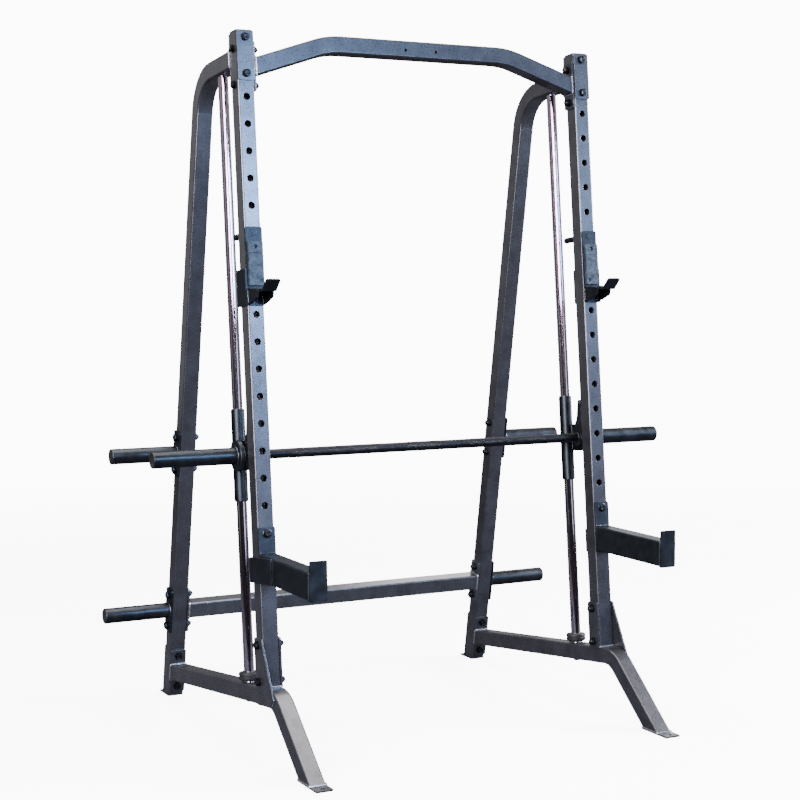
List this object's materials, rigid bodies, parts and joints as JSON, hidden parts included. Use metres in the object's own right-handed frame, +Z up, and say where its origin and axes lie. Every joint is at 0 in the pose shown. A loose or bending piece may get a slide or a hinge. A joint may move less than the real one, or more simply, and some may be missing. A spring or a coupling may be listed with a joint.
{
  "type": "smith machine",
  "caption": "Smith machine with leaning uprights, a guided barbell on chrome rods, J-hooks, spotter arms, bent rear legs with storage pegs and a pull-up bar.",
  "frame": {"origin": "middle of the bounding box, on the floor", "axes": "+X to the machine's left side as seen by a lifter facing out, -Y towards the open front, +Z up"},
  "size_m": [1.694, 1.216, 2.0302],
  "materials": {
    "frame_paint": "charcoal metallic powder coat, fine texture",
    "black_paint": "satin black powder coat",
    "chrome": "hard chrome, drawn",
    "black_steel": "black oxide fasteners",
    "bar_steel": "black oxide, knurled grip zones",
    "pad_plastic": "moulded plastic, fine grain",
    "cap_plastic": "moulded plastic, satin",
    "bushing_plastic": "slide bushing polymer",
    "rubber": "moulded rubber",
    "bearing_steel": "ground steel"
  },
  "bodies": {
    "frame": {"left_upright": "frame_paint", "left_rear_leg": "frame_paint", "left_base_rail": "frame_paint", "left_front_foot": "frame_paint", "left_rail_bracket": "frame_paint", "left_rear_foot": "frame_paint", "left_foot_gusset": "frame_paint", "left_foot_joint_plate": "frame_paint", "left_clamp_plate": "frame_paint", "left_lower_weight_peg": "black_paint", "left_upper_weight_peg": "black_paint", "left_upright_plug": "cap_plastic", "left_guide_rod": "chrome", "left_lower_bumper": "rubber", "right_upright": "frame_paint", "right_rear_leg": "frame_paint", "right_base_rail": "frame_paint", "right_front_foot": "frame_paint", "right_rail_bracket": "frame_paint", "right_rear_foot": "frame_paint", "right_foot_gusset": "frame_paint", "right_foot_joint_plate": "frame_paint", "right_clamp_plate": "frame_paint", "right_lower_weight_peg": "black_paint", "right_upper_weight_peg": "black_paint", "right_upright_plug": "cap_plastic", "right_guide_rod": "chrome", "right_lower_bumper": "rubber", "pull_up_bar": "frame_paint", "rear_crossmember": "frame_paint", "weight_peg_caps": "cap_plastic", "frame_bolts": "black_steel", "frame_nuts": "black_steel", "frame_washers": "black_steel", "guide_rod_bolts": "black_steel"},
    "carriage": {"left_slide_housing": "black_paint", "right_slide_housing": "black_paint", "slide_bushings": "bushing_plastic", "bar_bearings": "bearing_steel"},
    "bar": {"left_weight_sleeve": "black_paint", "left_sleeve_collar": "black_paint", "left_lock_hook": "black_paint", "right_weight_sleeve": "black_paint", "right_sleeve_collar": "black_paint", "right_lock_hook": "black_paint", "bar_shaft": "bar_steel", "sleeve_caps": "cap_plastic"},
    "left_j_hook": {"left_j_hook": "black_paint", "left_j_hook_pad": "pad_plastic", "left_j_hook_screws": "black_steel"},
    "left_spotter_arm": {"left_spotter_arm": "black_paint", "left_spotter_bolt": "black_steel"},
    "right_j_hook": {"right_j_hook": "black_paint", "right_j_hook_pad": "pad_plastic", "right_j_hook_screws": "black_steel"},
    "right_spotter_arm": {"right_spotter_arm": "black_paint", "right_spotter_bolt": "black_steel"}
  },
  "joints": [
    {"name": "carriage_slide", "type": "slide", "parent": "frame", "child": "carriage", "axis": [0, 0.0976, 0.9952], "range_m": [-0.4572, 0.4572]},
    {"name": "bar_turn", "type": "hinge", "parent": "carriage", "child": "bar", "pos_m": [0, -0.09655, 0.83501], "axis": [1, 0, 0], "range_deg": [-22, 15]},
    {"name": "left_j_hook_turn", "type": "hinge", "parent": "frame", "child": "left_j_hook", "pos_m": [-0.559, -0.11656, 1.46105], "axis": [0, 0.9952, -0.0976], "range_deg": [0, 90]},
    {"name": "left_spotter_arm_turn", "type": "hinge", "parent": "frame", "child": "left_spotter_arm", "pos_m": [-0.559, -0.19835, 0.62685], "axis": [0, 0.9952, -0.0976], "range_deg": [0, 90]},
    {"name": "right_j_hook_turn", "type": "hinge", "parent": "frame", "child": "right_j_hook", "pos_m": [0.559, -0.11656, 1.46105], "axis": [0, -0.9952, 0.0976], "range_deg": [0, 90]},
    {"name": "right_spotter_arm_turn", "type": "hinge", "parent": "frame", "child": "right_spotter_arm", "pos_m": [0.559, -0.19835, 0.62685], "axis": [0, -0.9952, 0.0976], "range_deg": [0, 90]}
  ]
}
